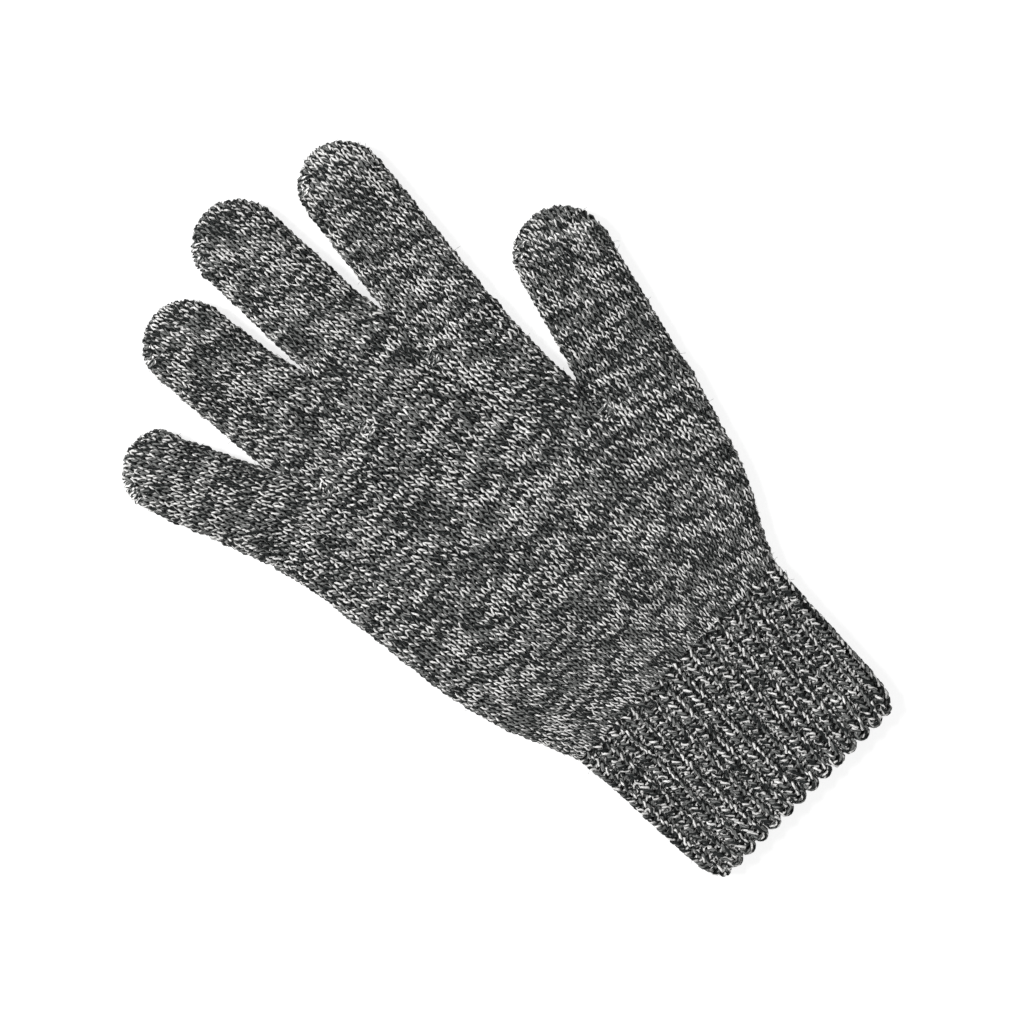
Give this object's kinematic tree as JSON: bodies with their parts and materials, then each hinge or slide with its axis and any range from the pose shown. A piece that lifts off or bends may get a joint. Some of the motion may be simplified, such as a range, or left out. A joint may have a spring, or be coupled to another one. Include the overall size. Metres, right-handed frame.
{
  "type": "knitted glove",
  "caption": "Seamless knitted glove laid flat, jersey hand and fingers with a rib cuff, in charcoal and pale grey marl yarn; the fingers, thumb and cuff fold towards the palm",
  "frame": {"origin": "on the face the glove lies on, at the middle of the wrist line", "axes": "+Y towards the fingertips, +X towards the thumb, +Z out of the palm side"},
  "size_m": [0.1583, 0.251, 0.0096],
  "materials": {
    "jersey_knit": "stocking-stitch jersey, marled wool-blend yarn, charcoal and black plied with pale grey, matt with a slight fuzz",
    "rib_knit": "rib knit, marled wool-blend yarn, charcoal and black plied with pale grey, matt with a slight fuzz",
    "cast_on_edge": "cast-on courses, marled wool-blend yarn, charcoal and black plied with pale grey, matt with a slight fuzz",
    "closing_yarn": "drawn-up and darned loops, marled wool-blend yarn, charcoal and black plied with pale grey, matt with a slight fuzz"
  },
  "bodies": {
    "hand": {"palm": "jersey_knit", "index_middle_join": "closing_yarn", "middle_ring_join": "closing_yarn", "ring_little_join": "closing_yarn", "thumb_join": "closing_yarn"},
    "cuff": {"rib_cuff": "rib_knit", "cuff_edge": "cast_on_edge"},
    "index_lower": {"index_finger_lower": "jersey_knit"},
    "index_end": {"index_finger_end": "jersey_knit", "index_finger_tip_closure": "closing_yarn"},
    "middle_lower": {"middle_finger_lower": "jersey_knit"},
    "middle_end": {"middle_finger_end": "jersey_knit", "middle_finger_tip_closure": "closing_yarn"},
    "ring_lower": {"ring_finger_lower": "jersey_knit"},
    "ring_end": {"ring_finger_end": "jersey_knit", "ring_finger_tip_closure": "closing_yarn"},
    "little_lower": {"little_finger_lower": "jersey_knit"},
    "little_end": {"little_finger_end": "jersey_knit", "little_finger_tip_closure": "closing_yarn"},
    "thumb_lower": {"thumb_lower": "jersey_knit"},
    "thumb_end": {"thumb_end": "jersey_knit", "thumb_tip_closure": "closing_yarn"}
  },
  "joints": [
    {"name": "wrist_fold", "type": "hinge", "parent": "hand", "child": "cuff", "pos_m": [0, -0.003, 0.0096], "axis": [-1, 0, 0], "range_deg": [0, 60]},
    {"name": "index_knuckle_fold", "type": "hinge", "parent": "hand", "child": "index_lower", "pos_m": [0.0247, 0.124, 0.009], "axis": [1, 0, 0], "range_deg": [0, 80]},
    {"name": "index_middle_fold", "type": "hinge", "parent": "index_lower", "child": "index_end", "pos_m": [0.02804, 0.154, 0.009], "axis": [1, 0, 0], "range_deg": [0, 70]},
    {"name": "middle_knuckle_fold", "type": "hinge", "parent": "hand", "child": "middle_lower", "pos_m": [-0.00324, 0.124, 0.009], "axis": [1, 0, 0], "range_deg": [0, 80]},
    {"name": "middle_middle_fold", "type": "hinge", "parent": "middle_lower", "child": "middle_end", "pos_m": [-0.00443, 0.157, 0.009], "axis": [1, 0, 0], "range_deg": [0, 70]},
    {"name": "ring_knuckle_fold", "type": "hinge", "parent": "hand", "child": "ring_lower", "pos_m": [-0.03268, 0.124, 0.009], "axis": [1, 0, 0], "range_deg": [0, 80]},
    {"name": "ring_middle_fold", "type": "hinge", "parent": "ring_lower", "child": "ring_end", "pos_m": [-0.03554, 0.153, 0.009], "axis": [1, 0, 0], "range_deg": [0, 70]},
    {"name": "little_knuckle_fold", "type": "hinge", "parent": "hand", "child": "little_lower", "pos_m": [-0.05614, 0.11407, 0.009], "axis": [0.9308, 0.3656, 0], "range_deg": [0, 80]},
    {"name": "little_middle_fold", "type": "hinge", "parent": "little_lower", "child": "little_end", "pos_m": [-0.06363, 0.13315, 0.009], "axis": [0.9308, 0.3656, 0], "range_deg": [0, 70]},
    {"name": "thumb_knuckle_fold", "type": "hinge", "parent": "hand", "child": "thumb_lower", "pos_m": [0.05359, 0.07678, 0.009], "axis": [0.9671, -0.2543, 0], "range_deg": [0, 60]},
    {"name": "thumb_middle_fold", "type": "hinge", "parent": "thumb_lower", "child": "thumb_end", "pos_m": [0.05919, 0.09805, 0.009], "axis": [0.9671, -0.2543, 0], "range_deg": [0, 70]}
  ]
}
